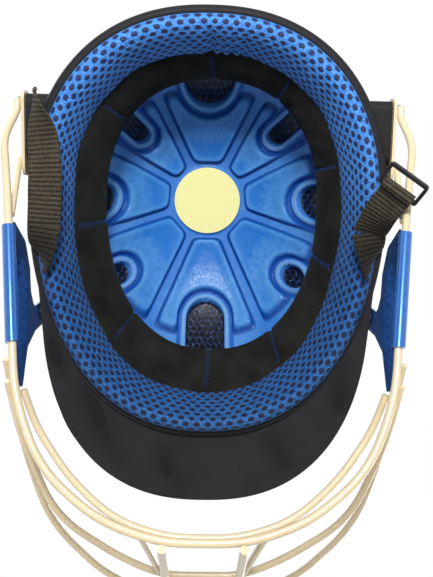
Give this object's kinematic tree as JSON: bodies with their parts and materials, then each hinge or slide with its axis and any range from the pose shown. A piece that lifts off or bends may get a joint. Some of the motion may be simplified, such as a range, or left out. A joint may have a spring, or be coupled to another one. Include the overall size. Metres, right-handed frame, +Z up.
{
  "type": "cricket helmet",
  "caption": "Cloth-covered cricket helmet with padded blue interior, bowed peak, wire face grille, blue ear guards and webbing chin strap.",
  "frame": {"origin": "centre of the head opening, in the plane of the shell's rim", "axes": "+Z up to the crown, -Y to the front (peak and grille), +X to the wearer's left"},
  "size_m": [0.2608, 0.3912, 0.2751],
  "materials": {
    "cover_cloth": "matt woven cloth, charcoal navy",
    "shell_plastic": "satin moulded shell",
    "liner_foam": "matt expanded foam",
    "binding_piping": "smooth satin piping",
    "blue_spacer_mesh": "open spacer mesh, bright blue over navy",
    "black_velour": "short velour pile with blue zig-zag seams",
    "navy_mesh": "hexagonal net",
    "blue_moulded_foam": "moulded foam with a leathery grain",
    "yellow_label": "smooth printed film, left bare",
    "peak_board": "moulded stiffener",
    "cream_wire": "glossy powder coat",
    "cream_plate": "glossy powder coat",
    "bright_steel": "zinc plated",
    "black_rubber": "matt rubber",
    "blue_lacquer": "glossy metallic lacquer",
    "black_webbing": "ribbed woven webbing",
    "dark_rivet": "blackened steel",
    "black_plastic": "moulded plastic"
  },
  "bodies": {
    "helmet": {"cloth_cover": "cover_cloth", "outer_shell": "shell_plastic", "impact_liner": "liner_foam", "rim_binding": "binding_piping", "padding_ring": "blue_spacer_mesh", "head_band": "black_velour", "crown_mesh": "navy_mesh", "crown_liner": "blue_moulded_foam", "crown_label": "yellow_label", "peak_board": "peak_board", "peak_cover": "cover_cloth", "fixing_bolts": "bright_steel", "fixing_washers": "bright_steel", "fixing_nuts": "bright_steel", "plate_spacers": "black_rubber", "guard_spacers": "black_rubber", "strap_anchor_tabs": "black_webbing", "strap_rivets": "dark_rivet", "strap_neck_left": "black_webbing", "strap_neck_right": "black_webbing"},
    "grille": {"grille_main_wire": "cream_wire", "grille_upper_chin_wire": "cream_wire", "grille_middle_bar": "cream_wire", "grille_top_bar": "cream_wire", "grille_struts": "cream_wire", "grille_braces": "cream_wire", "grille_side_stays": "cream_wire", "grille_side_plates": "cream_plate", "ear_guard_left": "blue_lacquer", "ear_guard_right": "blue_lacquer"},
    "strap_left": {"strap_left": "black_webbing"},
    "strap_right": {"strap_right": "black_webbing"},
    "ladder_lock": {"ladder_lock": "black_plastic"}
  },
  "joints": [
    {"name": "grille_tilt", "type": "hinge", "parent": "helmet", "child": "grille", "pos_m": [0, 0.079, 0.008], "axis": [1, 0, 0], "range_deg": [-2, 2]},
    {"name": "strap_left_swing", "type": "hinge", "parent": "helmet", "child": "strap_left", "pos_m": [0.1062, -0.024, -0.0065], "axis": [-0.9397, 0, 0.3419], "range_deg": [0, 60], "deforming": ["strap_neck_left"]},
    {"name": "strap_right_swing", "type": "hinge", "parent": "helmet", "child": "strap_right", "pos_m": [-0.1062, -0.024, -0.0065], "axis": [-0.9397, 0, -0.3419], "range_deg": [0, 50], "deforming": ["strap_neck_right"]},
    {"name": "ladder_lock_tilt", "type": "hinge", "parent": "strap_right", "child": "ladder_lock", "pos_m": [-0.1132, 0.0282, -0.0435], "axis": [0.7996, 0.5668, 0.1982], "range_deg": [0, 35]}
  ]
}
